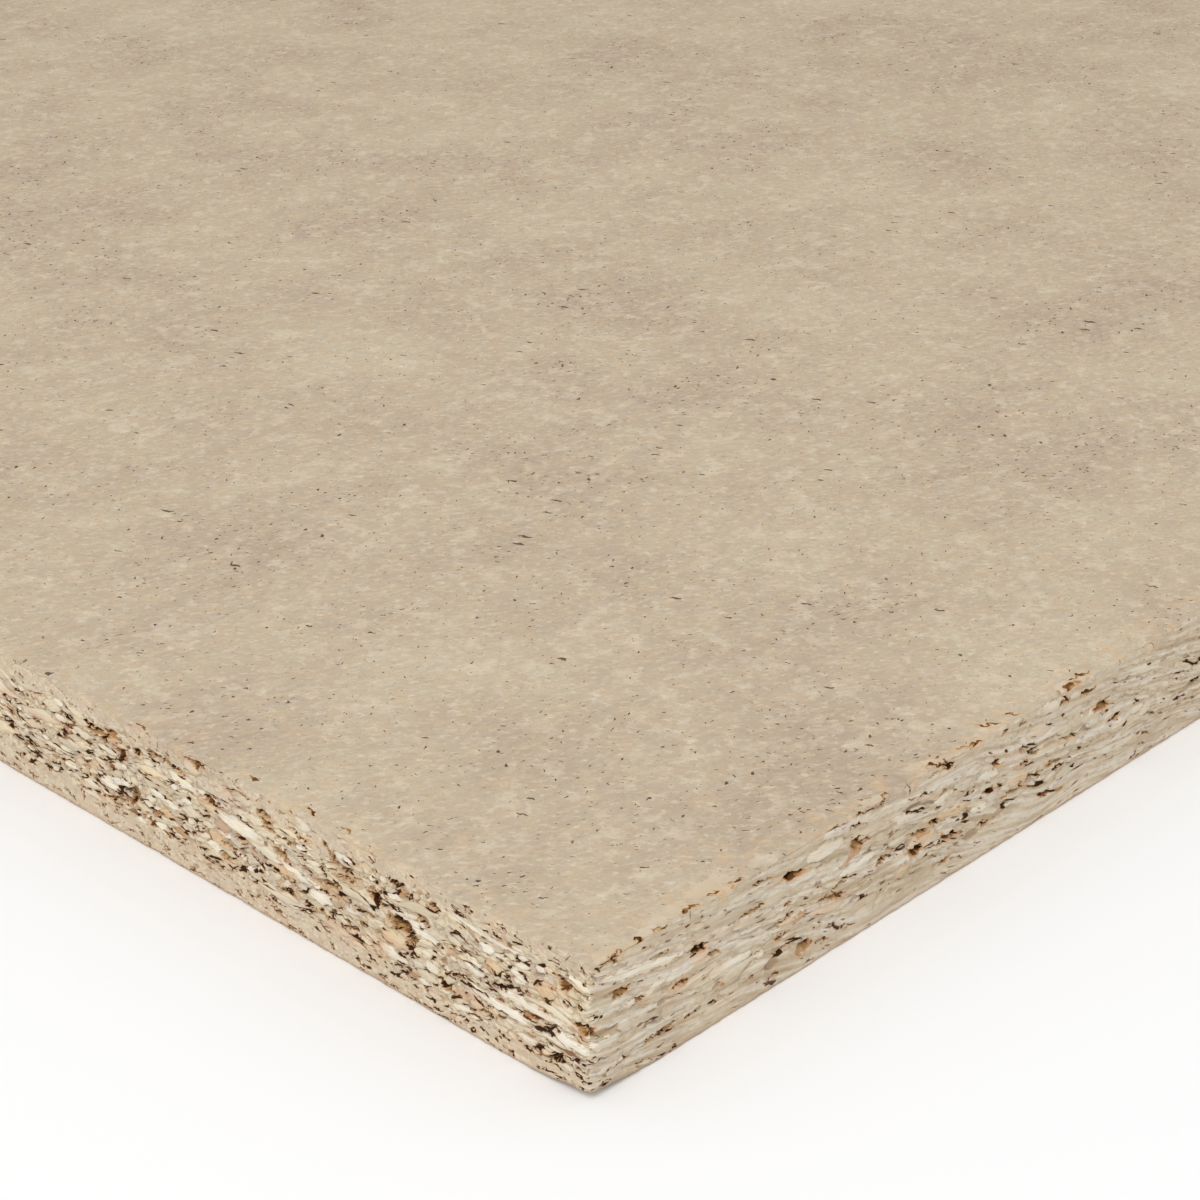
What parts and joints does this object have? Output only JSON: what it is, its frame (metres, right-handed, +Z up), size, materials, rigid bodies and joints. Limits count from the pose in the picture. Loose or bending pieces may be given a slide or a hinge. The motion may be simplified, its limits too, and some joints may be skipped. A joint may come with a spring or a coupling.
{
  "type": "chipboard",
  "caption": "Flat rectangular chipboard sheet, 18 mm thick, with smooth sanded faces and bare sawn edges that show the coarse wood chips.",
  "frame": {"origin": "centre of the underside", "axes": "+X along the length, +Y along the width, +Z up through the thickness, out of the upper face"},
  "size_m": [1.22, 0.61, 0.018],
  "materials": {
    "chipboard": "raw sanded chipboard, matt, with open sawn edges"
  },
  "bodies": {
    "root": {"chipboard_sheet": "chipboard"}
  },
  "joints": []
}
